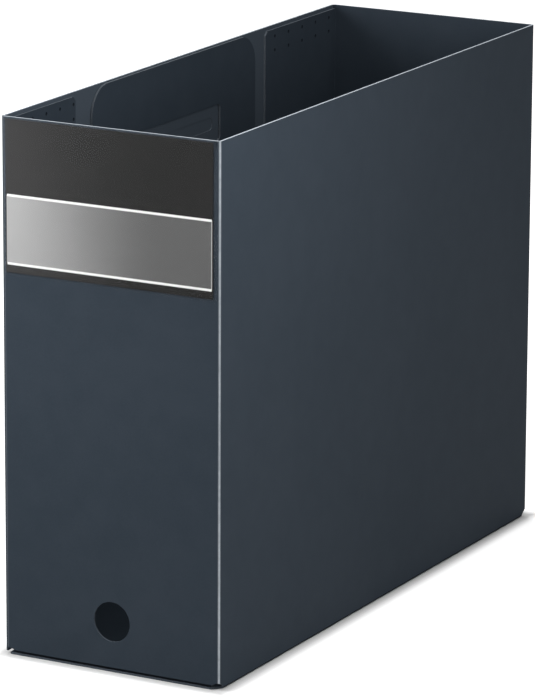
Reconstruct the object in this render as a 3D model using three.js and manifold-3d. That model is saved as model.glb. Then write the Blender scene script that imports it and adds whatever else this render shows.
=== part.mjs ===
// Box file for upright documents, open at the top, made of folded plastic sheet.
// Millimetres, +Z up. Width runs along X (plain long wall at +X), depth along Y (title pocket at -Y).
// The origin lies on the surface it stands on, under the middle of the overall size.

import * as THREE from "three";
import { mergeVertices } from "three/addons/utils/BufferGeometryUtils.js";
import Module from "manifold-3d";

const wasm = await Module();
wasm.setup();

// Overall size of the folded box
const WIDTH = 112;
const DEPTH = 318;
const HEIGHT = 251;

// Sheet and its folds
const SHEET = 1.0;
const FOLD_INNER_RADIUS = 0.3;
const LAYER_GAP = 0.15;
const FOLD_STEPS = 5;

// Relief notches where a lower fold meets the upright folds
const RELIEF_RUN = 4.2;
const RELIEF_RISE = 0.9;

// Weld tabs inside the left wall
const FRONT_TAB_LENGTH = 62;
const BACK_TAB_LENGTH = 74.2;
const TAB_DROP = 1.9;
const TAB_CORNER = 2;
const SIDE_PANEL_RECESS = 1.2;

// Spot-weld dimples in the tabs, in rows of dots
const DOT_RADIUS = 0.9;
const DOT_FLOOR_RADIUS = 0.45;
const DOT_DEPTH = 0.4;
const DOTS_PER_ROW = 5;
const DOT_ROW_DROPS = [5.5, 12.4];
const DOT_GROUPS = 3;
const DOT_GROUP_PITCH = 112;
const FRONT_DOTS = { first: 1.9, pitch: 12 };
const BACK_DOTS = { first: 9.5, pitch: 14.2 };

// Tongue of the bottom panel, with its window, and the pressed slot in the wall behind it
const TONGUE_FRONT_GAP = 14.7;
const TONGUE_BACK_GAP = 10.8;
const TONGUE_WALL_GAP = 0.2;
const TONGUE_DROP = 0.7;
const TONGUE_CORNER = 14;
const WINDOW_SIDE_MARGIN = 35;
const WINDOW_DROP = 29.2;
const WINDOW_HEIGHT = 18;
const WINDOW_CORNER = 2.5;
const SLOT_MARGIN = 5.8;
const SLOT_DEPTH = 0.3;

// Bottom panel and inner flaps
const BOTTOM_INSET = 0.6;
const FLAP_LENGTH = 48;
const FLAP_SHOULDER = 2;
const FLAP_TAPER = 6;

// Finger hole in the front panel
const FINGER_HOLE_DIAMETER = 18.7;
const FINGER_HOLE_HEIGHT = 23.8;

// Title pocket of clear film and the card in it
const FILM = 0.2;
const CARD = 0.3;
const CARD_CLEARANCE = 0.1;
const CARD_DROP = 0.6;
const POCKET_HEIGHT = 72.5;
const POCKET_TOP_DROP = 0.3;
const POCKET_LEFT_INSET = 0.4;
const POCKET_RIGHT_INSET = 1.2;
const POCKET_WELD = 1.4;
const POCKET_SLOPE = 0.8;

// How far a cutting tool reaches past the sheet, and how far joined pieces of one sheet overlap
const CUT_MARGIN = 1;
const LAP = 0.4;

// Places that follow from the sizes above
const FOLD_OUTER_RADIUS = FOLD_INNER_RADIUS + SHEET;
const FRONT = -DEPTH / 2;
const BACK = DEPTH / 2;
const RIGHT = WIDTH / 2;
const LEFT = -WIDTH / 2;
const TAB_FACE = LEFT + SHEET;
const FLAP_UNDERSIDE = SHEET + LAYER_GAP;
const RING_FOOT = FLAP_UNDERSIDE + FOLD_OUTER_RADIUS + RELIEF_RISE;
const FRONT_TAB_END = FRONT + FRONT_TAB_LENGTH;
const BACK_TAB_END = BACK - BACK_TAB_LENGTH;
const TONGUE_FRONT = FRONT_TAB_END + TONGUE_FRONT_GAP;
const TONGUE_BACK = BACK_TAB_END - TONGUE_BACK_GAP;
const TONGUE_FACE = LEFT + SHEET + TONGUE_WALL_GAP;
const TONGUE_TOP = HEIGHT - TONGUE_DROP;
const WINDOW_TOP = HEIGHT - WINDOW_DROP;
const WINDOW_FOOT = WINDOW_TOP - WINDOW_HEIGHT;
const POCKET_LIFT = CARD + 2 * CARD_CLEARANCE;
const POCKET_DEPTH = POCKET_LIFT + FILM;
const POCKET_TOP = HEIGHT - POCKET_TOP_DROP;
const POCKET_FOOT = HEIGHT - POCKET_HEIGHT;
const POCKET_LEFT = LEFT + POCKET_LEFT_INSET;
const POCKET_RIGHT = RIGHT - POCKET_RIGHT_INSET;

// Turns a closed three.js geometry into a solid that can be joined and cut
function toSolid(geometry) {
  const bare = geometry.clone();
  bare.deleteAttribute("normal");
  bare.deleteAttribute("uv");
  const merged = mergeVertices(bare);
  const vertProperties = new Float32Array(merged.attributes.position.array);
  const triVerts = new Uint32Array(merged.index.array);
  return new wasm.Manifold(new wasm.Mesh({ numProp: 3, vertProperties, triVerts }));
}

// Turns a solid back into a three.js geometry
function toGeometry(solid) {
  const mesh = solid.getMesh();
  const geometry = new THREE.BufferGeometry();
  geometry.setAttribute("position", new THREE.BufferAttribute(new Float32Array(mesh.vertProperties), 3));
  geometry.setIndex(new THREE.BufferAttribute(new Uint32Array(mesh.triVerts), 1));
  geometry.computeVertexNormals();
  return geometry;
}

// Extrudes a shape drawn in (x, y) between two exact heights
function extrudeUp(shape, low, high) {
  const geometry = new THREE.ExtrudeGeometry(shape, {
    depth: 1, bevelEnabled: false, curveSegments: FOLD_STEPS,
  });
  const position = geometry.attributes.position;
  for (let i = 0; i < position.count; i += 1) {
    position.setZ(i, position.getZ(i) > 0 ? high : low);
  }
  return geometry;
}

// Extrudes a shape drawn in (y, z) between two places along X
function extrudeAcross(shape, low, high) {
  const turn = new THREE.Matrix4().makeBasis(
    new THREE.Vector3(0, 1, 0),
    new THREE.Vector3(0, 0, 1),
    new THREE.Vector3(1, 0, 0),
  );
  return extrudeUp(shape, low, high).applyMatrix4(turn);
}

// Extrudes a shape drawn in (x, z) between two places along Y
function extrudeDeep(shape, low, high) {
  const turn = new THREE.Matrix4().makeBasis(
    new THREE.Vector3(1, 0, 0),
    new THREE.Vector3(0, 0, 1),
    new THREE.Vector3(0, -1, 0),
  );
  return extrudeUp(shape, -high, -low).applyMatrix4(turn);
}

function polygon(points) {
  return new THREE.Shape(points.map(([u, v]) => new THREE.Vector2(u, v)));
}

function rectangle(left, right, low, high) {
  return polygon([[left, low], [right, low], [right, high], [left, high]]);
}

// Rectangle whose four corners are rounded, with a radius for the lower and one for the upper pair
function roundedRectangle(left, right, low, high, lowRadius, highRadius) {
  const shape = new THREE.Shape();
  shape.absarc(left + lowRadius, low + lowRadius, lowRadius, Math.PI, 1.5 * Math.PI, false);
  shape.absarc(right - lowRadius, low + lowRadius, lowRadius, 1.5 * Math.PI, 2 * Math.PI, false);
  shape.absarc(right - highRadius, high - highRadius, highRadius, 0, 0.5 * Math.PI, false);
  shape.absarc(left + highRadius, high - highRadius, highRadius, 0.5 * Math.PI, Math.PI, false);
  shape.closePath();
  return shape;
}

// Section through a folded sheet. The corners are those of its outer face, every fold turns left
// through a right angle, and each is round outside and inside.
function foldedSection(corners) {
  const points = corners.map(([u, v]) => new THREE.Vector2(u, v));
  const runs = points.slice(1).map((point, i) => point.clone().sub(points[i]).normalize());
  const folds = runs.slice(1).map((next, i) => {
    const centre = points[i + 1].clone()
      .addScaledVector(runs[i], -FOLD_OUTER_RADIUS)
      .addScaledVector(next, FOLD_OUTER_RADIUS);
    const start = Math.atan2(-next.y, -next.x);
    return { centre, start, end: start + Math.PI / 2 };
  });
  const innerEnd = (point, run) => [point.x - run.y * SHEET, point.y + run.x * SHEET];

  const shape = new THREE.Shape();
  shape.moveTo(...innerEnd(points[0], runs[0]));
  shape.lineTo(points[0].x, points[0].y);
  for (const { centre, start, end } of folds) {
    shape.absarc(centre.x, centre.y, FOLD_OUTER_RADIUS, start, end, false);
  }
  shape.lineTo(points.at(-1).x, points.at(-1).y);
  shape.lineTo(...innerEnd(points.at(-1), runs.at(-1)));
  for (const { centre, start, end } of folds.reverse()) {
    shape.absarc(centre.x, centre.y, FOLD_INNER_RADIUS, end, start, true);
  }
  shape.closePath();
  return shape;
}

// Front, right and back walls with the two weld tabs, above the relief notches
function wallRing() {
  const plan = foldedSection([
    [TAB_FACE, FRONT_TAB_END],
    [TAB_FACE, FRONT],
    [RIGHT, FRONT],
    [RIGHT, BACK],
    [TAB_FACE, BACK],
    [TAB_FACE, BACK_TAB_END],
  ]);
  return toSolid(extrudeUp(plan, RING_FOOT, HEIGHT));
}

// What is trimmed from a tab: the strip over its top edge, and its two free corners
function tabTrim(freeEnd, wall) {
  const inward = Math.sign(freeEnd - wall);
  const top = HEIGHT - TAB_DROP;
  const foldEnd = wall + inward * FOLD_OUTER_RADIUS;
  const past = freeEnd + inward * CUT_MARGIN;
  const strip = rectangle(Math.min(foldEnd, past), Math.max(foldEnd, past), top, HEIGHT + CUT_MARGIN);
  const corner = (height, rise) => polygon([
    [freeEnd - inward * TAB_CORNER, height],
    [freeEnd + inward * CUT_MARGIN, height - rise * (TAB_CORNER + CUT_MARGIN)],
    [freeEnd + inward * CUT_MARGIN, height + rise * CUT_MARGIN],
    [freeEnd - inward * TAB_CORNER, height + rise * CUT_MARGIN],
  ]);
  const cutters = [strip, corner(top, 1), corner(RING_FOOT, -1)];
  return cutters.map((shape) => toSolid(
    extrudeAcross(shape, TAB_FACE - CUT_MARGIN, TAB_FACE + SHEET + CUT_MARGIN),
  ));
}

// The foot of a wall with its lower fold and the flap behind the fold. It is drawn for the wall at +X
// and turned about Z to the side it belongs to.
function foldedFoot({ turn, outer, half, middle, underside, flap }) {
  const tangent = underside + FOLD_OUTER_RADIUS;
  const foldHalf = half - RELIEF_RUN;
  const skirtHalf = half - FOLD_OUTER_RADIUS;
  const skirt = extrudeAcross(polygon([
    [-foldHalf, tangent],
    [foldHalf, tangent],
    [skirtHalf, RING_FOOT],
    [skirtHalf, RING_FOOT + LAP],
    [-skirtHalf, RING_FOOT + LAP],
    [-skirtHalf, RING_FOOT],
  ]), outer - SHEET, outer);
  const foldEnd = outer - FOLD_OUTER_RADIUS;
  const fold = extrudeDeep(foldedSection([
    [foldEnd - LAP, underside],
    [outer, underside],
    [outer, tangent + LAP],
  ]), -foldHalf, foldHalf);
  const panel = extrudeUp(polygon([
    [foldEnd, -foldHalf],
    [foldEnd, foldHalf],
    [foldEnd - flap.shoulder, flap.half],
    [flap.end, flap.endHalf],
    [flap.end, -flap.endHalf],
    [foldEnd - flap.shoulder, -flap.half],
  ]), underside, underside + SHEET);
  const pieces = [skirt, fold, panel].map((geometry) => toSolid(
    geometry.rotateZ(turn).translate(middle, 0, 0),
  ));
  return pieces.reduce((whole, piece) => whole.add(piece));
}

// Bottom panel on the lower fold of the right wall
function bottomFoot() {
  const half = DEPTH / 2;
  const foldHalf = half - RELIEF_RUN;
  const edge = half - BOTTOM_INSET;
  return foldedFoot({
    turn: 0,
    outer: RIGHT,
    half,
    middle: 0,
    underside: 0,
    flap: { shoulder: edge - foldHalf, half: edge, end: TONGUE_FACE + FOLD_OUTER_RADIUS, endHalf: edge },
  });
}

// Inner flap on the lower fold of the front or the back wall, lying on the bottom panel
function innerFlapFoot(turn) {
  const half = (RIGHT - TAB_FACE) / 2;
  const foldHalf = half - RELIEF_RUN;
  return foldedFoot({
    turn,
    outer: DEPTH / 2,
    half,
    middle: (RIGHT + TAB_FACE) / 2,
    underside: FLAP_UNDERSIDE,
    flap: {
      shoulder: FLAP_SHOULDER,
      half: foldHalf,
      end: DEPTH / 2 - FLAP_LENGTH,
      endHalf: foldHalf - FLAP_TAPER,
    },
  });
}

// Tongue that rises from the left edge of the bottom panel, with round shoulders and a window
function tongue() {
  const section = foldedSection([
    [TONGUE_FACE, TONGUE_TOP],
    [TONGUE_FACE, 0],
    [TONGUE_FACE + FOLD_OUTER_RADIUS + LAP, 0],
  ]);
  const strip = toSolid(extrudeDeep(section, TONGUE_FRONT, TONGUE_BACK));
  const reach = [TONGUE_FACE - CUT_MARGIN, TONGUE_FACE + FOLD_OUTER_RADIUS + CUT_MARGIN];
  const outline = roundedRectangle(
    TONGUE_FRONT, TONGUE_BACK, -TONGUE_CORNER, TONGUE_TOP, FOLD_INNER_RADIUS, TONGUE_CORNER,
  );
  const opening = roundedRectangle(
    TONGUE_FRONT + WINDOW_SIDE_MARGIN, TONGUE_BACK - WINDOW_SIDE_MARGIN,
    WINDOW_FOOT, WINDOW_TOP, WINDOW_CORNER, WINDOW_CORNER,
  );
  return strip
    .intersect(toSolid(extrudeAcross(outline, ...reach)))
    .subtract(toSolid(extrudeAcross(opening, ...reach)));
}

function fingerHole() {
  const radius = FINGER_HOLE_DIAMETER / 2;
  const length = SHEET + 2 * CUT_MARGIN;
  const hole = new THREE.CylinderGeometry(radius, radius, length, 48);
  return toSolid(hole.translate((RIGHT + TAB_FACE) / 2, FRONT + SHEET / 2, FINGER_HOLE_HEIGHT));
}

// Spot-weld dimples pressed into the inner face of a tab, in groups down its height
function weldDimples(freeEnd, wall, { first, pitch }) {
  const outward = Math.sign(wall - freeEnd);
  const length = DOT_DEPTH + CUT_MARGIN;
  const spread = (DOT_RADIUS - DOT_FLOOR_RADIUS) / DOT_DEPTH;
  const dimples = [];
  for (let group = 0; group < DOT_GROUPS; group += 1) {
    for (const drop of DOT_ROW_DROPS) {
      for (let dot = 0; dot < DOTS_PER_ROW; dot += 1) {
        const cone = new THREE.CylinderGeometry(
          DOT_FLOOR_RADIUS + spread * length, DOT_FLOOR_RADIUS, length, 8,
        );
        cone.rotateZ(-Math.PI / 2);
        cone.translate(
          TAB_FACE + SHEET - DOT_DEPTH + length / 2,
          freeEnd + outward * (first + dot * pitch),
          HEIGHT - drop - group * DOT_GROUP_PITCH,
        );
        dimples.push(toSolid(cone));
      }
    }
  }
  return dimples;
}

// The one die-cut and folded sheet: three walls, two tabs, bottom panel, tongue and inner flaps
function bodySheet() {
  const joined = wallRing()
    .add(bottomFoot())
    .add(innerFlapFoot(-Math.PI / 2))
    .add(innerFlapFoot(Math.PI / 2))
    .add(tongue());
  const cutters = [
    fingerHole(),
    ...tabTrim(FRONT_TAB_END, FRONT),
    ...tabTrim(BACK_TAB_END, BACK),
    ...weldDimples(FRONT_TAB_END, FRONT, FRONT_DOTS),
    ...weldDimples(BACK_TAB_END, BACK, BACK_DOTS),
  ];
  return cutters.reduce((sheet, cutter) => sheet.subtract(cutter), joined);
}

// Left wall, a flat sheet welded outside the tabs, with a shallow pressed slot behind the window
function sidePanel() {
  const panel = toSolid(extrudeAcross(
    rectangle(FRONT + SIDE_PANEL_RECESS, BACK - SIDE_PANEL_RECESS, FLAP_UNDERSIDE, HEIGHT),
    LEFT,
    LEFT + SHEET,
  ));
  const slotFoot = WINDOW_FOOT + SLOT_MARGIN;
  const slotTop = WINDOW_TOP - SLOT_MARGIN;
  const slotRadius = (slotTop - slotFoot) / 2;
  const slot = roundedRectangle(
    TONGUE_FRONT + WINDOW_SIDE_MARGIN + SLOT_MARGIN,
    TONGUE_BACK - WINDOW_SIDE_MARGIN - SLOT_MARGIN,
    slotFoot, slotTop, slotRadius, slotRadius,
  );
  return panel.subtract(toSolid(
    extrudeAcross(slot, LEFT + SHEET - SLOT_DEPTH, LEFT + SHEET + CUT_MARGIN),
  ));
}

// Clear film welded to the front panel along its sides and foot, raised over the card, open at the top
function titlePocket() {
  const face = FRONT;
  const raisedLeft = POCKET_LEFT + POCKET_WELD;
  const raisedRight = POCKET_RIGHT - POCKET_WELD;
  const film = toSolid(extrudeUp(polygon([
    [POCKET_LEFT, face],
    [POCKET_LEFT, face - FILM],
    [raisedLeft, face - FILM],
    [raisedLeft + POCKET_SLOPE, face - POCKET_DEPTH],
    [raisedRight - POCKET_SLOPE, face - POCKET_DEPTH],
    [raisedRight, face - FILM],
    [POCKET_RIGHT, face - FILM],
    [POCKET_RIGHT, face],
    [raisedRight, face],
    [raisedRight - POCKET_SLOPE, face - POCKET_LIFT],
    [raisedLeft + POCKET_SLOPE, face - POCKET_LIFT],
    [raisedLeft, face],
  ]), POCKET_FOOT, POCKET_TOP));
  const weldTop = POCKET_FOOT + POCKET_WELD;
  const foot = toSolid(extrudeUp(
    rectangle(raisedLeft, raisedRight, face - POCKET_DEPTH, face), POCKET_FOOT, weldTop,
  ));
  const bevel = toSolid(extrudeAcross(polygon([
    [face - FILM, POCKET_FOOT - CUT_MARGIN],
    [face - FILM, POCKET_FOOT],
    [face - POCKET_DEPTH, weldTop],
    [face - POCKET_DEPTH - CUT_MARGIN, weldTop],
    [face - POCKET_DEPTH - CUT_MARGIN, POCKET_FOOT - CUT_MARGIN],
  ]), raisedLeft - CUT_MARGIN, raisedRight + CUT_MARGIN));
  return film.add(foot).subtract(bevel);
}

// Printed card standing in the pocket
function titleCard() {
  const inset = POCKET_WELD + POCKET_SLOPE + CARD_CLEARANCE;
  const back = FRONT - CARD_CLEARANCE;
  return toSolid(extrudeUp(
    rectangle(POCKET_LEFT + inset, POCKET_RIGHT - inset, back - CARD, back),
    POCKET_FOOT + POCKET_WELD,
    POCKET_TOP - CARD_DROP,
  ));
}

function slateSheet() {
  return new THREE.MeshStandardMaterial({ color: 0x3d4852, roughness: 0.5, metalness: 0 });
}

function clearFilm() {
  return new THREE.MeshStandardMaterial({
    color: 0xe6eaec, roughness: 0.15, metalness: 0, transparent: true, opacity: 0.3,
  });
}

function printedCard() {
  return new THREE.MeshStandardMaterial({ color: 0x4a4a4a, roughness: 0.6, metalness: 0 });
}

function named(name, solid, material) {
  const mesh = new THREE.Mesh(toGeometry(solid), material);
  mesh.name = name;
  return mesh;
}

// The pocket stands proud of the front, so the box sits back by half of that
const group = new THREE.Group();
group.position.set(0, POCKET_DEPTH / 2, 0);
group.add(
  named("body_sheet", bodySheet(), slateSheet()),
  named("side_panel", sidePanel(), slateSheet()),
  named("title_pocket", titlePocket(), clearFilm()),
  named("title_card", titleCard(), printedCard()),
);

export default group;
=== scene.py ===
"""The look of an open-topped box file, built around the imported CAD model."""

import math

import bpy
from mathutils import Matrix, Vector
from mathutils.bvhtree import BVHTree


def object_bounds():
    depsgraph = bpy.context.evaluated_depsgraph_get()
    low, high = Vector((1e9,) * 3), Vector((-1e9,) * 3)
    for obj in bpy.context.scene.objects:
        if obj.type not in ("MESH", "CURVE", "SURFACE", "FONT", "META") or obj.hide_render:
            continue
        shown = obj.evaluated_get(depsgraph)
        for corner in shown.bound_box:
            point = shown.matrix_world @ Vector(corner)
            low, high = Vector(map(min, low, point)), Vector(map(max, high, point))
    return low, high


# Camera, fitted to the corners of the box in the photograph
IMAGE_HEIGHT_PX = 700
CAMERA_LOCATION = (1.0340, -1.92365, 0.6809)
CAMERA_AZIMUTH_DEG = -28.405
CAMERA_ELEVATION_DEG = 13.525
CAMERA_ROLL_DEG = 0.268
CAMERA_FOCAL_PX = 4749.4
CAMERA_SHIFT_Y = -0.12
CAMERA_CLIP_START = 0.05
CAMERA_CLIP_END = 50.0
SENSOR_MM = 36.0

# Floor and surroundings, lengths in metres
WHITE = (1.0, 1.0, 1.0)
WORLD_LIGHT = 0.11
FLOOR_HALF_SIZE = 8.0
FLOOR_HEIGHT = -0.0001
FLOOR_COLOR = (0.72, 0.72, 0.72)
FLOOR_CORNERS = ((-1, -1), (1, -1), (1, 1), (-1, 1))

# White of the floor where it is seen: from radius, to radius, near level, far level
FLOOR_GLOW = (0.22, 0.60, 0.70, 1.0)
# Width over which the added white fades to none at the box's footprint: a painted contact shadow,
# partly the real shadow shown
PAINTED_CONTACT_SHADOW_WIDTH = 0.009

# Lamps: name, place, target, side length, watts
LAMPS = (
    ("front_lamp", (-0.27, -0.35, 0.33), (-0.05, -0.16, 0.20), 0.20, 1.63),
    ("side_lamp", (0.29, -0.25, 0.36), (0.056, -0.14, 0.20), 0.20, 1.0),
    ("inner_lamp", (0.35, 0.10, 0.65), (-0.05, 0.0, 0.22), 0.35, 0.45),
    ("top_lamp", (0.02, 0.0, 1.20), (0.0, 0.0, 0.10), 0.45, 3.2),
    ("rear_lamp", (-0.75, 0.80, 0.85), (0.0, 0.10, 0.13), 0.60, 6.0),
)

# Sheet colours
SLATE_DARK = (0.0326, 0.0438, 0.0573)
SLATE_LIGHT = (0.0408, 0.0525, 0.0677)
# Painted light: the inner side of a single sheet is painted this lighter slate, for light coming
# through it
PAINTED_SHINE_THROUGH = (0.0640, 0.0800, 0.1000)
# Folds: partly whitened plastic, partly a painted highlight on the fold's outside
FOLD_WHITE_AND_HIGHLIGHT = (0.62, 0.67, 0.72)
# Cut edges: partly their own pale cut, partly a painted highlight, strongest on the top rim
PALE_EDGE_AND_HIGHLIGHT = (0.50, 0.55, 0.61)
# Painted shade: under the lower folds and in the weld dimples
PAINTED_SHADE_DARK = (0.006, 0.008, 0.011)

# Shares of the three noises in the slate's tone, which sum to 1
CLOUD_SHARE = 0.4
MOTTLE_SHARE = 0.3
SPECKLE_SHARE = 0.3

# Noises: waves a metre, detail, roughness
CLOUD = (11.0, 3.0, 0.5)
MOTTLE = (90.0, 3.0, 0.6)
SPECKLE = (1300.0, 2.0, 0.7)
WEAR = (260.0, 3.0, 0.6)
FINE_GRAIN = (3200.0, 1.0, 0.5)
WARP = (9.0, 1.0, 0.5)
TONE_DRIFT = (14.0, 1.0, 0.5)
FIBRE = (2400.0, 2.0, 0.6)
RIPPLE = (26.0, 2.0, 0.5)
SCUFF = (700.0, 3.0, 0.65)

# Bumps: height in metres, strength
SPECKLE_BUMP = (0.00004, 0.35)
FINE_BUMP = (0.00002, 0.25)
WARP_BUMP = (0.004, 0.12)
FIBRE_BUMP = (0.000004, 0.1)
RIPPLE_BUMP = (0.0012, 0.08)

# Ramps: from value, to value, result at the first, result at the second
SLATE_TONE = (0.3, 0.7, 0.0, 1.0)
FOLD_WEAR = (0.2, 0.75, 0.7, 1.0)
FOLD_FADE = (0.03, 0.17, 1.0, 0.72)
CUT_WEAR = (0.2, 0.75, 0.75, 1.0)
SHEET_ROUGHNESS = (0.25, 0.75, 0.42, 0.56)
CARD_ROUGHNESS = (0.25, 0.75, 0.30, 0.42)
FILM_ROUGHNESS = (0.25, 0.8, 0.12, 0.16)
FILM_ALPHA = (0.3, 0.8, 0.035, 0.05)

# Gloss
PLASTIC_IOR = 1.49
SHEET_SPECULAR = 0.015
CARD_SPECULAR = 0.06
FILM_SPECULAR = 0.6
FILM_COAT = 0.5
FILM_COAT_ROUGHNESS = 0.06

# Cut edges: a face with more solid than this behind it is one, and how pale it is by place,
# partly a pale cut and partly a painted highlight
SHEET_CUT_DEPTH = 0.0016
FILM_CUT_DEPTH = 0.0008
PROBE_START = 1e-5
RIM_BAND = 0.0004
FOOT_HEIGHT = 0.003
FRONT_PANEL_Y = -0.157
RIM_CUT = 1.0
INNER_CUT = 0.22
FOOT_CUT = 0.11
FRONT_CUT = 0.06

# Folds and weld dimples: the shares of white and of painted shade, and how their faces are told
NORMAL_SHARE = 0.2
INNER_NORMAL = 0.5
FOLD_RUN = 0.02
FOLD_SHARPNESS = 3
OPEN_FOLD = 1.0
WELDED_FOLD = 0.12
DIMPLE_LOW_X = -0.05445
DIMPLE_HIGH_X = -0.05401
DIMPLE_SIZE = 0.0025
# Painted shade in the weld dimples
DIMPLE_PAINTED_SHADE = 0.75

# Fillet of the cut edges, and the angle up to which faces shade smooth
WELD_DISTANCE = 1e-6
EDGE_FILLET = 0.0001
EDGE_FILLET_STEPS = 2
EDGE_FILLET_ANGLE_DEG = 50
SMOOTH_ANGLE_DEG = 32

# Film colours
FILM_CLEAR = (0.06, 0.065, 0.07)
# The film's cut edges, its upper one most, are painted this pale grey and opaque: partly milky
# film, partly a painted highlight
FILM_EDGE_AND_HIGHLIGHT = (0.38, 0.41, 0.44)

# Card print: heights above the floor and places across, in metres
RULE_UPPER_Z = 0.2153
RULE_LOWER_Z = 0.1840
RULE_HALF = 0.00055
BAND_LEFT_X = -0.0527
BAND_RIGHT_X = 0.0519
END_LINE_HALF = 0.00025
PRINT_BLUR = 0.00012
# The charcoal and silver are painted lighter at the left and darker to the right: a painted
# reflection on the print
TONE_START_X = -0.066
TONE_END_X = 0.040
TONE_DRIFT_LENGTH = 0.02
CHARCOAL_LEFT = (0.046, 0.0455, 0.0455)
CHARCOAL_RIGHT = (0.0185, 0.018, 0.0175)
SILVER_LEFT = (0.47, 0.47, 0.47)
SILVER_RIGHT = (0.125, 0.125, 0.125)
SILVER_METALLIC = 0.25
RULE_WHITE = (0.97, 0.97, 0.96)
END_LINE_GREY = (0.45, 0.45, 0.45)

# Sockets of a Mix node that mixes colours
MIX_FIRST = 6
MIX_SECOND = 7
MIX_RESULT = 2


def feed(tree, value, socket):
    """Gives a socket its value: another socket, a colour or a number."""
    if isinstance(value, bpy.types.NodeSocket):
        tree.links.new(value, socket)
    elif isinstance(value, tuple):
        socket.default_value = (*value, 1.0)
    else:
        socket.default_value = value


def math_node(tree, operation, *values):
    """The output of a Math node on sockets or numbers."""
    node = tree.nodes.new("ShaderNodeMath")
    node.operation = operation
    for socket, value in zip(node.inputs, values):
        feed(tree, value, socket)
    return node.outputs[0]


def product(tree, first, second):
    """One value times the other."""
    return math_node(tree, "MULTIPLY", first, second)


def ramp(tree, value, low, high, start=0.0, end=1.0):
    """Value from low to high becomes start to end, smoothly, and stays there outside."""
    node = tree.nodes.new("ShaderNodeMapRange")
    node.interpolation_type = "SMOOTHSTEP"
    tree.links.new(value, node.inputs["Value"])
    node.inputs["From Min"].default_value = low
    node.inputs["From Max"].default_value = high
    node.inputs["To Min"].default_value = start
    node.inputs["To Max"].default_value = end
    return node.outputs["Result"]


def mix_color(tree, share, first, second):
    """A colour between two colours or sockets."""
    node = tree.nodes.new("ShaderNodeMix")
    node.data_type = "RGBA"
    tree.links.new(share, node.inputs["Factor"])
    feed(tree, first, node.inputs[MIX_FIRST])
    feed(tree, second, node.inputs[MIX_SECOND])
    return node.outputs[MIX_RESULT]


def noise(tree, place, scale, detail, roughness):
    """Noise of so many waves a metre."""
    node = tree.nodes.new("ShaderNodeTexNoise")
    tree.links.new(place, node.inputs["Vector"])
    node.inputs["Scale"].default_value = scale
    node.inputs["Detail"].default_value = detail
    node.inputs["Roughness"].default_value = roughness
    return node.outputs["Fac"]


def bump(tree, height, distance, strength, normal=None):
    """The normal of a Bump node."""
    node = tree.nodes.new("ShaderNodeBump")
    node.inputs["Distance"].default_value = distance
    node.inputs["Strength"].default_value = strength
    tree.links.new(height, node.inputs["Height"])
    if normal is not None:
        tree.links.new(normal, node.inputs["Normal"])
    return node.outputs["Normal"]


def attribute(tree, name):
    """A number that each face of the mesh carries."""
    node = tree.nodes.new("ShaderNodeAttribute")
    node.attribute_name = name
    return node.outputs["Fac"]


def object_place(tree):
    """The place on the object."""
    return tree.nodes.new("ShaderNodeTexCoord").outputs["Object"]


def split(tree, place):
    """The X, Y and Z of a place."""
    node = tree.nodes.new("ShaderNodeSeparateXYZ")
    tree.links.new(place, node.inputs[0])
    return node.outputs


def new_material(name):
    """A material, its tree, its Principled shader and the place on the object."""
    material = bpy.data.materials.new(name)
    material.use_nodes = True
    tree = material.node_tree
    return material, tree, tree.nodes["Principled BSDF"], object_place(tree)


def slate_color(tree, place, speckle, single_layer):
    """Slate with soft clouds.

    A single layer lets a little light through; its inner side is painted a shade lighter for that
    light.
    """
    cloud = product(tree, noise(tree, place, *CLOUD), CLOUD_SHARE)
    mottle = product(tree, noise(tree, place, *MOTTLE), MOTTLE_SHARE)
    grain = product(tree, speckle, SPECKLE_SHARE)
    tone = math_node(tree, "ADD", grain, math_node(tree, "ADD", cloud, mottle))
    slate = mix_color(tree, ramp(tree, tone, *SLATE_TONE), SLATE_DARK, SLATE_LIGHT)
    if single_layer:
        # Painted light: the inner side is painted lighter
        slate = mix_color(tree, attribute(tree, "inner"), slate, PAINTED_SHINE_THROUGH)
    return slate


def sheet_color(tree, place, slate):
    """Slate, whitened on the folds, most near the foot, and pale on cut edges, both partly a
    painted highlight, with painted shade under the lower folds and in the weld dimples.
    """
    wear = noise(tree, place, *WEAR)
    # Fold white: partly whitened plastic, partly a painted highlight
    white = product(tree, attribute(tree, "fold"), ramp(tree, wear, *FOLD_WEAR))
    fade = ramp(tree, split(tree, place)["Z"], *FOLD_FADE)
    folded = mix_color(tree, product(tree, white, fade), slate, FOLD_WHITE_AND_HIGHLIGHT)
    # Cut edges: partly a pale cut, partly a painted highlight
    cut = product(tree, attribute(tree, "cut"), ramp(tree, wear, *CUT_WEAR))
    edged = mix_color(tree, cut, folded, PALE_EDGE_AND_HIGHLIGHT)
    # Painted shade under the lower folds and in the weld dimples
    return mix_color(tree, attribute(tree, "painted_shade"), edged, PAINTED_SHADE_DARK)


def sheet_material(name, single_layer):
    """Matte grained polypropylene sheet."""
    material, tree, shader, place = new_material(name)
    speckle = noise(tree, place, *SPECKLE)
    slate = slate_color(tree, place, speckle, single_layer)
    tree.links.new(sheet_color(tree, place, slate), shader.inputs["Base Color"])
    tree.links.new(ramp(tree, speckle, *SHEET_ROUGHNESS), shader.inputs["Roughness"])
    grain = bump(tree, speckle, *SPECKLE_BUMP)
    fine = bump(tree, noise(tree, place, *FINE_GRAIN), *FINE_BUMP, grain)
    warped = bump(tree, noise(tree, place, *WARP), *WARP_BUMP, fine)
    tree.links.new(warped, shader.inputs["Normal"])
    shader.inputs["Specular IOR Level"].default_value = SHEET_SPECULAR
    shader.inputs["IOR"].default_value = PLASTIC_IOR
    return material


def near(tree, value, middle, half):
    """1 where value lies within half of middle, with a soft border."""
    gap = math_node(tree, "ABSOLUTE", math_node(tree, "SUBTRACT", value, middle))
    return ramp(tree, gap, half - PRINT_BLUR, half + PRINT_BLUR, 1.0, 0.0)


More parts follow.
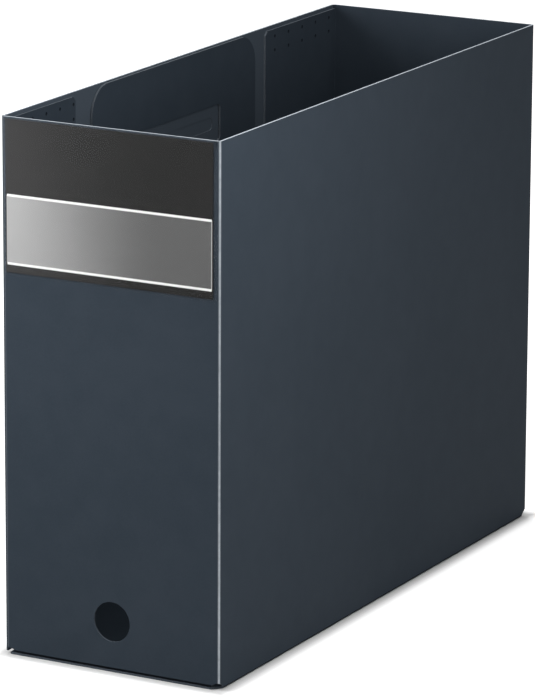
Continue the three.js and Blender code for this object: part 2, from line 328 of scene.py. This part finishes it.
def between(tree, value, low, high):
    """1 where value lies from low to high, with a soft border."""
    return near(tree, value, (low + high) / 2, (high - low) / 2)


def two_lines(tree, value, middles, half):
    """1 where value lies within half of either middle."""
    return math_node(tree, "MAXIMUM", *(near(tree, value, middle, half) for middle in middles))


def card_print(tree, place):
    """The card's colour, with a painted reflection making it lighter at the left, and how far it
    is silver.
    """
    axes = split(tree, place)
    across = axes["X"]
    height = axes["Z"]
    drift = product(tree, noise(tree, place, *TONE_DRIFT), TONE_DRIFT_LENGTH)
    run = ramp(tree, math_node(tree, "ADD", across, drift), TONE_START_X, TONE_END_X)
    charcoal = mix_color(tree, run, CHARCOAL_LEFT, CHARCOAL_RIGHT)
    silver = mix_color(tree, run, SILVER_LEFT, SILVER_RIGHT)
    band = between(tree, height, RULE_LOWER_Z, RULE_UPPER_Z)
    inside = between(tree, across, BAND_LEFT_X, BAND_RIGHT_X)
    ends = two_lines(tree, across, (BAND_LEFT_X, BAND_RIGHT_X), END_LINE_HALF)
    rules = two_lines(tree, height, (RULE_UPPER_Z, RULE_LOWER_Z), RULE_HALF)
    metal = product(tree, band, inside)
    printed = mix_color(tree, metal, charcoal, silver)
    printed = mix_color(tree, product(tree, band, ends), printed, END_LINE_GREY)
    printed = mix_color(tree, product(tree, inside, rules), printed, RULE_WHITE)
    return printed, metal


def card_material():
    """A smooth printed card: charcoal, and a silver band between two white rules."""
    material, tree, shader, place = new_material("printed_card")
    printed, metal = card_print(tree, place)
    fibre = noise(tree, place, *FIBRE)
    tree.links.new(printed, shader.inputs["Base Color"])
    tree.links.new(product(tree, metal, SILVER_METALLIC), shader.inputs["Metallic"])
    tree.links.new(ramp(tree, fibre, *CARD_ROUGHNESS), shader.inputs["Roughness"])
    tree.links.new(bump(tree, fibre, *FIBRE_BUMP), shader.inputs["Normal"])
    shader.inputs["Specular IOR Level"].default_value = CARD_SPECULAR
    return material


def film_material():
    """Clear glossy film, milky along its upper edge, and there partly a painted highlight."""
    material, tree, shader, place = new_material("clear_film")
    ripple = noise(tree, place, *RIPPLE)
    scuff = noise(tree, place, *SCUFF)
    edge = attribute(tree, "cut")
    alpha = math_node(tree, "MAXIMUM", ramp(tree, scuff, *FILM_ALPHA), edge)
    tree.links.new(mix_color(tree, edge, FILM_CLEAR, FILM_EDGE_AND_HIGHLIGHT), shader.inputs["Base Color"])
    tree.links.new(alpha, shader.inputs["Alpha"])
    tree.links.new(ramp(tree, scuff, *FILM_ROUGHNESS), shader.inputs["Roughness"])
    tree.links.new(bump(tree, ripple, *RIPPLE_BUMP), shader.inputs["Normal"])
    shader.inputs["IOR"].default_value = PLASTIC_IOR
    shader.inputs["Specular IOR Level"].default_value = FILM_SPECULAR
    shader.inputs["Coat Weight"].default_value = FILM_COAT
    shader.inputs["Coat Roughness"].default_value = FILM_COAT_ROUGHNESS
    return material


def fold_share(face, extent):
    """How white the outside of an upright fold is painted, from 0 to 1, most in its middle:
    partly whitened plastic, partly a painted highlight.
    """
    x, y, z = (abs(a) for a in face.normal)
    outward = face.normal.x * face.center.x + face.normal.y * face.center.y > 0
    if not outward or extent.z < FOLD_RUN or min(x, y) < NORMAL_SHARE or z > NORMAL_SHARE:
        return 0.0
    white = OPEN_FOLD if face.center.x > 0 else WELDED_FOLD
    return white * (2 * x * y) ** FOLD_SHARPNESS


def painted_shade_share(face, extent):
    """How much painted shade a face gets: the underside of the lower folds, and the pressed weld
    dimples.
    """
    x, y = (abs(a) for a in face.normal.xy)
    foot = face.center.z < FOOT_HEIGHT and face.normal.z < -NORMAL_SHARE
    if foot and max(x, y) > NORMAL_SHARE and max(extent) > FOLD_RUN:
        return 1.0
    on_tab = DIMPLE_LOW_X < face.center.x < DIMPLE_HIGH_X and face.normal.x > NORMAL_SHARE
    return DIMPLE_PAINTED_SHADE if on_tab and max(extent) < DIMPLE_SIZE else 0.0


def cut_share(middle, top):
    """How pale a cut edge is painted, partly its own paleness and partly a painted highlight: the
    rim fully, the foot and the front's hole and film least.
    """
    if middle.z > top - RIM_BAND:
        return RIM_CUT
    if middle.z < FOOT_HEIGHT:
        return FOOT_CUT
    return FRONT_CUT if middle.y < FRONT_PANEL_Y else INNER_CUT


def extent_of(points):
    """The size of the box around some points."""
    return Vector([max(p[a] for p in points) - min(p[a] for p in points) for a in range(3)])


def mark_faces(node, cut_depth):
    """Gives each face its numbers: how far it is cut, a fold's outside, its painted shade and
    inner.
    """
    mesh = node.data
    points = [v.co.copy() for v in mesh.vertices]
    tree = BVHTree.FromPolygons(points, [tuple(p.vertices) for p in mesh.polygons])
    top = max(p.z for p in points)
    marks = {"cut": [], "fold": [], "painted_shade": [], "inner": []}
    for face in mesh.polygons:
        start = face.center - face.normal * PROBE_START
        depth = tree.ray_cast(start, -face.normal)[3]
        is_cut = depth is None or depth > cut_depth
        extent = extent_of([points[i] for i in face.vertices])
        marks["cut"].append(cut_share(face.center, top) if is_cut else 0.0)
        marks["fold"].append(0.0 if is_cut else fold_share(face, extent))
        marks["painted_shade"].append(painted_shade_share(face, extent))
        marks["inner"].append(float(face.normal.x > INNER_NORMAL))
    for name, values in marks.items():
        mesh.attributes.new(name, "FLOAT", "FACE").data.foreach_set("value", values)


def smoothing_group():
    """Geometry nodes that shade faces smooth, with the edges above the limit kept sharp."""
    group = bpy.data.node_groups.new("smooth_below_limit", "GeometryNodeTree")
    for direction in ("INPUT", "OUTPUT"):
        group.interface.new_socket("Geometry", in_out=direction, socket_type="NodeSocketGeometry")
    source = group.nodes.new("NodeGroupInput")
    sink = group.nodes.new("NodeGroupOutput")
    angle = group.nodes.new("GeometryNodeInputMeshEdgeAngle")
    below = group.nodes.new("FunctionNodeCompare")
    below.data_type = "FLOAT"
    below.operation = "LESS_THAN"
    below.inputs[1].default_value = math.radians(SMOOTH_ANGLE_DEG)
    faces = group.nodes.new("GeometryNodeSetShadeSmooth")
    faces.domain = "FACE"
    edges = group.nodes.new("GeometryNodeSetShadeSmooth")
    edges.domain = "EDGE"
    link = group.links.new
    link(angle.outputs["Unsigned Angle"], below.inputs[0])
    link(source.outputs["Geometry"], faces.inputs["Geometry"])
    link(faces.outputs["Geometry"], edges.inputs["Geometry"])
    link(below.outputs["Result"], edges.inputs["Shade Smooth"])
    link(edges.outputs["Geometry"], sink.inputs["Geometry"])
    return group


def add_fillet(node):
    """Rounds the cut edges a little."""
    bevel = node.modifiers.new("fillet", "BEVEL")
    bevel.width = EDGE_FILLET
    bevel.segments = EDGE_FILLET_STEPS
    bevel.limit_method = "ANGLE"
    bevel.angle_limit = math.radians(EDGE_FILLET_ANGLE_DEG)


def soften(node, group, fillet):
    """Joins the imported faces, then shades the folds smooth and the flats flat."""
    if node.data.has_custom_normals:
        node.data.attributes.remove(node.data.attributes["custom_normal"])
    weld = node.modifiers.new("weld", "WELD")
    weld.merge_threshold = WELD_DISTANCE
    if fillet:
        add_fillet(node)
    smooth = node.modifiers.new("smooth", "NODES")
    smooth.node_group = group
    level = node.modifiers.new("level", "WEIGHTED_NORMAL")
    level.mode = "FACE_AREA"
    level.keep_sharp = True


def dress(node, material):
    """The node shows this material only."""
    node.data.materials.clear()
    node.data.materials.append(material)


def seen_directly(tree):
    """1 for rays from the camera, from glossy surfaces and through clear ones."""
    path = tree.nodes.new("ShaderNodeLightPath").outputs
    straight = math_node(tree, "MAXIMUM", path["Is Camera Ray"], path["Is Transmission Ray"])
    return math_node(tree, "MAXIMUM", straight, path["Is Glossy Ray"])


def floor_white(tree, half_footprint):
    """How white the seen floor is: less near the box, where its shadow shows, and none under it,
    a painted contact shadow around its foot.
    """
    place = object_place(tree)
    distance = tree.nodes.new("ShaderNodeVectorMath")
    distance.operation = "LENGTH"
    tree.links.new(place, distance.inputs[0])
    level = ramp(tree, distance.outputs["Value"], *FLOOR_GLOW)
    axes = split(tree, place)
    gaps = [math_node(tree, "SUBTRACT", math_node(tree, "ABSOLUTE", axes[axis]), half)
            for axis, half in zip("XY", half_footprint)]
    outside = math_node(tree, "MAXIMUM", *gaps)
    # Painted contact shadow: the added white fades to none at the footprint
    level = product(tree, level, ramp(tree, outside, 0.0, PAINTED_CONTACT_SHADOW_WIDTH))
    return product(tree, seen_directly(tree), level)


def floor_material(half_footprint):
    """Plain pale paint that takes shadows, with white added where it is seen."""
    material = bpy.data.materials.new("floor")
    material.use_nodes = True
    tree = material.node_tree
    tree.nodes.clear()
    paint = tree.nodes.new("ShaderNodeBsdfDiffuse")
    feed(tree, FLOOR_COLOR, paint.inputs["Color"])
    glow = tree.nodes.new("ShaderNodeEmission")
    feed(tree, WHITE, glow.inputs["Color"])
    tree.links.new(floor_white(tree, half_footprint), glow.inputs["Strength"])
    both = tree.nodes.new("ShaderNodeAddShader")
    tree.links.new(paint.outputs[0], both.inputs[0])
    tree.links.new(glow.outputs[0], both.inputs[1])
    out = tree.nodes.new("ShaderNodeOutputMaterial")
    tree.links.new(both.outputs[0], out.inputs["Surface"])
    return material


def make_floor(half_footprint):
    """A plain pale floor that keeps the soft shadow near and under the box, with a painted
    contact shadow at its foot.
    """
    size = FLOOR_HALF_SIZE
    points = [(x * size, y * size, FLOOR_HEIGHT) for x, y in FLOOR_CORNERS]
    mesh = bpy.data.meshes.new("floor")
    mesh.from_pydata(points, [], [tuple(range(len(points)))])
    mesh.materials.append(floor_material(half_footprint))
    floor = bpy.data.objects.new("floor", mesh)
    bpy.context.scene.collection.objects.link(floor)


def make_world():
    """White where it is seen, and a plain soft light everywhere else."""
    world = bpy.data.worlds.new("studio")
    world.use_nodes = True
    tree = world.node_tree
    background = tree.nodes["Background"]
    feed(tree, WHITE, background.inputs["Color"])
    strength = ramp(tree, seen_directly(tree), 0.0, 1.0, WORLD_LIGHT, 1.0)
    tree.links.new(strength, background.inputs["Strength"])
    bpy.context.scene.world = world


def make_lamps():
    """Square soft lamps, each turned to its target."""
    for name, place, target, side, watts in LAMPS:
        data = bpy.data.lights.new(name, "AREA")
        data.shape = "SQUARE"
        data.size = side
        data.energy = watts
        lamp = bpy.data.objects.new(name, data)
        lamp.location = place
        lamp.rotation_mode = "QUATERNION"
        lamp.rotation_quaternion = (Vector(target) - Vector(place)).to_track_quat("-Z", "Y")
        bpy.context.scene.collection.objects.link(lamp)


def camera_turn():
    """The camera's rotation: heading, then tilt, then roll."""
    heading = Matrix.Rotation(math.radians(-CAMERA_AZIMUTH_DEG), 3, "Z")
    tilt = Matrix.Rotation(math.radians(90 - CAMERA_ELEVATION_DEG), 3, "X")
    roll = Matrix.Rotation(math.radians(CAMERA_ROLL_DEG), 3, "Z")
    return (heading @ tilt @ roll).to_quaternion()


def make_camera():
    """The camera at the photograph's viewing angle."""
    data = bpy.data.cameras.new("camera")
    data.sensor_width = SENSOR_MM
    data.lens = CAMERA_FOCAL_PX / IMAGE_HEIGHT_PX * SENSOR_MM
    data.shift_y = CAMERA_SHIFT_Y
    data.clip_start = CAMERA_CLIP_START
    data.clip_end = CAMERA_CLIP_END
    camera = bpy.data.objects.new("camera", data)
    camera.location = CAMERA_LOCATION
    camera.rotation_mode = "QUATERNION"
    camera.rotation_quaternion = camera_turn()
    bpy.context.scene.collection.objects.link(camera)
    bpy.context.scene.camera = camera


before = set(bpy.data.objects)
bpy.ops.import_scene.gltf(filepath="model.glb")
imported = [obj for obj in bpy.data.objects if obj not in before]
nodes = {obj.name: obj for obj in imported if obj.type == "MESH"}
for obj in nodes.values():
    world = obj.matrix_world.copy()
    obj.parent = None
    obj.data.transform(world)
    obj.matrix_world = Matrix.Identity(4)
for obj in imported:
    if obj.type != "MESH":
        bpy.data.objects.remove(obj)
cad_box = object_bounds()

bpy.context.scene.view_settings.view_transform = "Standard"
make_camera()
make_world()
make_floor(cad_box[1].xy)
make_lamps()

smoothing = smoothing_group()
for name in ("body_sheet", "side_panel"):
    mark_faces(nodes[name], SHEET_CUT_DEPTH)
    soften(nodes[name], smoothing, fillet=True)
    dress(nodes[name], sheet_material(name, single_layer=name == "side_panel"))
mark_faces(nodes["title_pocket"], FILM_CUT_DEPTH)
soften(nodes["title_pocket"], smoothing, fillet=False)
dress(nodes["title_pocket"], film_material())
soften(nodes["title_card"], smoothing, fillet=False)
dress(nodes["title_card"], card_material())
